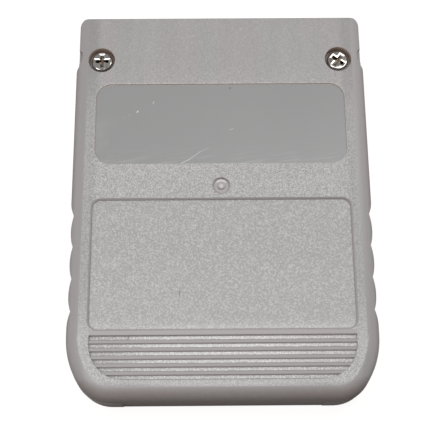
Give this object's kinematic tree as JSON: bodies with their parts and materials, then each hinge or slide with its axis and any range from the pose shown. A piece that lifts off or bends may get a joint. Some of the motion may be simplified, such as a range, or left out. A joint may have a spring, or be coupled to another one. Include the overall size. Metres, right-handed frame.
{
  "type": "console memory card",
  "caption": "Flat plug-in memory card for a game console, with screwed half shells, ribbed and scalloped finger grips, a label recess and a contact mouth at its end.",
  "frame": {"origin": "centre of the footprint, on the plane that the front face rests on", "axes": "+Y to the contact end, +Z out of the back with the screws, +X to the right of the back seen from outside with the contact end up"},
  "size_m": [0.0422, 0.0558, 0.008],
  "materials": {
    "case_plastic": "spark-textured grey moulding with polished edges",
    "board_laminate": "green solder mask on glass laminate",
    "screw_metal": "bright nickel plate",
    "contact_gold": "thin gold plate",
    "chip_resin": "moulded black resin",
    "lead_tin": "tinned leads",
    "resonator_ceramic": "glazed ceramic with plated bands",
    "supply_resin": "moulded yellow resin",
    "bypass_ceramic": "fired ceramic with tinned ends",
    "resistor_film": "black film with tinned ends"
  },
  "bodies": {
    "root": {"bypass_capacitor_1": "bypass_ceramic", "bypass_capacitor_2": "bypass_ceramic", "bypass_capacitor_3": "bypass_ceramic", "case_screws": "screw_metal", "circuit_board": "board_laminate", "contact_pad_1": "contact_gold", "contact_pad_2": "contact_gold", "contact_pad_3": "contact_gold", "contact_pad_4": "contact_gold", "contact_pad_5": "contact_gold", "contact_pad_6": "contact_gold", "contact_pad_7": "contact_gold", "contact_pad_8": "contact_gold", "controller_chip": "chip_resin", "controller_chip_leads": "lead_tin", "front_shell": "case_plastic", "line_resistor_1": "resistor_film", "line_resistor_2": "resistor_film", "line_resistor_3": "resistor_film", "line_resistor_4": "resistor_film", "line_resistor_5": "resistor_film", "memory_chip": "chip_resin", "memory_chip_leads": "lead_tin", "rear_shell": "case_plastic", "reset_chip": "chip_resin", "reset_chip_leads": "lead_tin", "resonator": "resonator_ceramic", "supply_capacitor": "supply_resin"}
  },
  "joints": []
}
